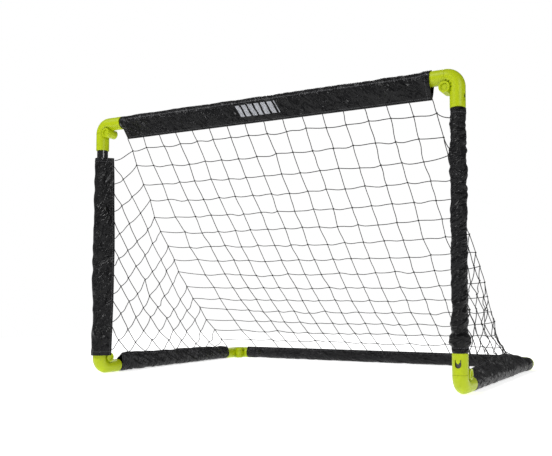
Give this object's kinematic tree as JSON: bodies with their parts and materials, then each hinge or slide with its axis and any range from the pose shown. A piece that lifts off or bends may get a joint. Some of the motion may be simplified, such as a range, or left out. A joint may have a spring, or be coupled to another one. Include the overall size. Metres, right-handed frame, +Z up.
{
  "type": "soccer goal frame",
  "caption": "Folding youth soccer goal frame: fabric-sleeved tubes joined by hinged corner elbows, with a sloping mesh net over the back and sides.",
  "frame": {"origin": "on the floor, under the middle of the frame's outer box", "axes": "+X along the crossbar, +Y from the mouth to the rear tube, +Z up"},
  "size_m": [0.9161, 0.6113, 0.6096],
  "materials": {
    "tube_black": "black enamelled steel tube",
    "elbow_plastic": "yellow-green moulded plastic",
    "sleeve_fabric": "black satin nylon",
    "net_twine": "black braided twine"
  },
  "bodies": {
    "rear_bar": {"rear_base_tube": "tube_black", "rear_base_sleeve": "sleeve_fabric", "rear_left_elbow": "elbow_plastic", "rear_left_hinge_pin": "elbow_plastic", "rear_left_pin_cap": "elbow_plastic", "rear_right_elbow": "elbow_plastic", "rear_right_hinge_pin": "elbow_plastic", "rear_right_pin_cap": "elbow_plastic", "net_back": "net_twine", "net_left_side": "net_twine", "net_right_side": "net_twine"},
    "crossbar": {"crossbar_tube": "tube_black", "crossbar_sleeve": "sleeve_fabric", "top_left_elbow": "elbow_plastic", "top_left_hinge_pin": "elbow_plastic", "top_left_pin_cap": "elbow_plastic", "top_right_socket": "elbow_plastic"},
    "left_post": {"left_post_tube": "tube_black", "left_post_sleeve": "sleeve_fabric", "top_left_socket": "elbow_plastic", "front_left_socket": "elbow_plastic"},
    "right_post": {"right_post_tube": "tube_black", "right_post_sleeve": "sleeve_fabric", "top_right_elbow": "elbow_plastic", "top_right_hinge_pin": "elbow_plastic", "top_right_pin_cap": "elbow_plastic", "front_right_socket": "elbow_plastic"},
    "left_side": {"left_base_tube": "tube_black", "left_base_sleeve": "sleeve_fabric", "rear_left_socket": "elbow_plastic", "front_left_elbow": "elbow_plastic", "front_left_hinge_pin": "elbow_plastic", "front_left_pin_cap": "elbow_plastic"},
    "right_side": {"right_base_tube": "tube_black", "right_base_sleeve": "sleeve_fabric", "rear_right_socket": "elbow_plastic", "front_right_elbow": "elbow_plastic", "front_right_hinge_pin": "elbow_plastic", "front_right_pin_cap": "elbow_plastic"}
  },
  "joints": [
    {"name": "front_frame_fold", "type": "hinge", "parent": "rear_bar", "child": "crossbar", "pos_m": [0, -0.2678, 0.037], "axis": [-1, 0, 0], "range_deg": [0, 90], "deforming": ["net_back", "net_left_side", "net_right_side"]},
    {"name": "left_side_swing", "type": "hinge", "parent": "rear_bar", "child": "left_side", "pos_m": [-0.4202, 0.2678, 0.015], "axis": [0, 0, 1], "range_deg": [0, 90]},
    {"name": "left_post_swing", "type": "hinge", "parent": "crossbar", "child": "left_post", "pos_m": [-0.4202, -0.2898, 0.5726], "axis": [0, -1, 0], "range_deg": [0, 90]},
    {"name": "right_side_swing", "type": "hinge", "parent": "rear_bar", "child": "right_side", "pos_m": [0.4202, 0.2678, 0.015], "axis": [0, 0, -1], "range_deg": [0, 83]},
    {"name": "right_post_swing", "type": "hinge", "parent": "crossbar", "child": "right_post", "pos_m": [0.4202, -0.2898, 0.5726], "axis": [0, 1, 0], "range_deg": [0, 83]}
  ],
  "couplings": [
    {"joint": "left_post_swing", "follows": "left_side_swing", "ratio": 1},
    {"joint": "right_post_swing", "follows": "right_side_swing", "ratio": 1}
  ]
}
